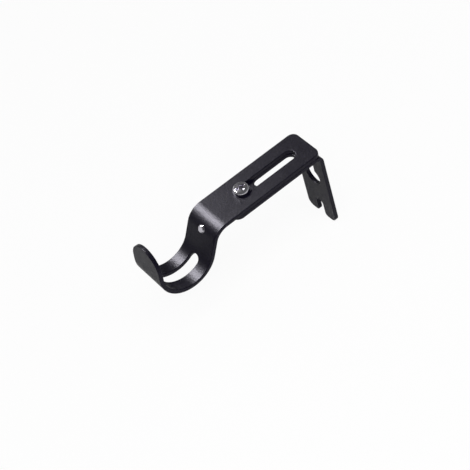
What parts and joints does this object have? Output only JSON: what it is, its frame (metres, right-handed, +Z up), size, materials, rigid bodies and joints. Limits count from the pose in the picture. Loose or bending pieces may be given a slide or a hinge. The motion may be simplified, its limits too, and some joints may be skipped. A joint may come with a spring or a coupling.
{
  "type": "adjustable curtain pole bracket",
  "caption": "Adjustable curtain pole bracket: a slotted strip with a cradle for the pole slides on an L-shaped wall strip, locked by a clamp screw, with a thumb screw to hold the pole.",
  "frame": {"origin": "on the wall, at the back of the wall plate, midway between its keyhole and its fork slot", "axes": "+X points out of the wall along the arm, +Y runs along the pole, +Z is up"},
  "size_m": [0.0959, 0.02, 0.0573],
  "materials": {
    "black_coat": "satin black powder coat on mild steel",
    "bright_zinc": "bright zinc plating"
  },
  "bodies": {
    "wall_side": {"wall_bracket": "black_coat", "clamp_nut": "bright_zinc"},
    "hook_side": {"hook_arm": "black_coat"},
    "clamp_screw": {"clamp_screw": "bright_zinc"},
    "pole_screw": {"pole_screw": "bright_zinc"}
  },
  "joints": [
    {"name": "arm_slide", "type": "slide", "parent": "wall_side", "child": "hook_side", "axis": [1, 0, 0], "range_m": [0, 0.0289]},
    {"name": "clamp_screw_turn", "type": "hinge", "parent": "wall_side", "child": "clamp_screw", "pos_m": [0.0397, 0, 0.0331], "axis": [0, 0, 1], "range_deg": [0, 540]},
    {"name": "pole_screw_travel", "type": "slide", "parent": "hook_side", "child": "pole_screw", "axis": [0.8949, 0, 0.4462], "range_m": [-0.0015, 0.0023]}
  ]
}
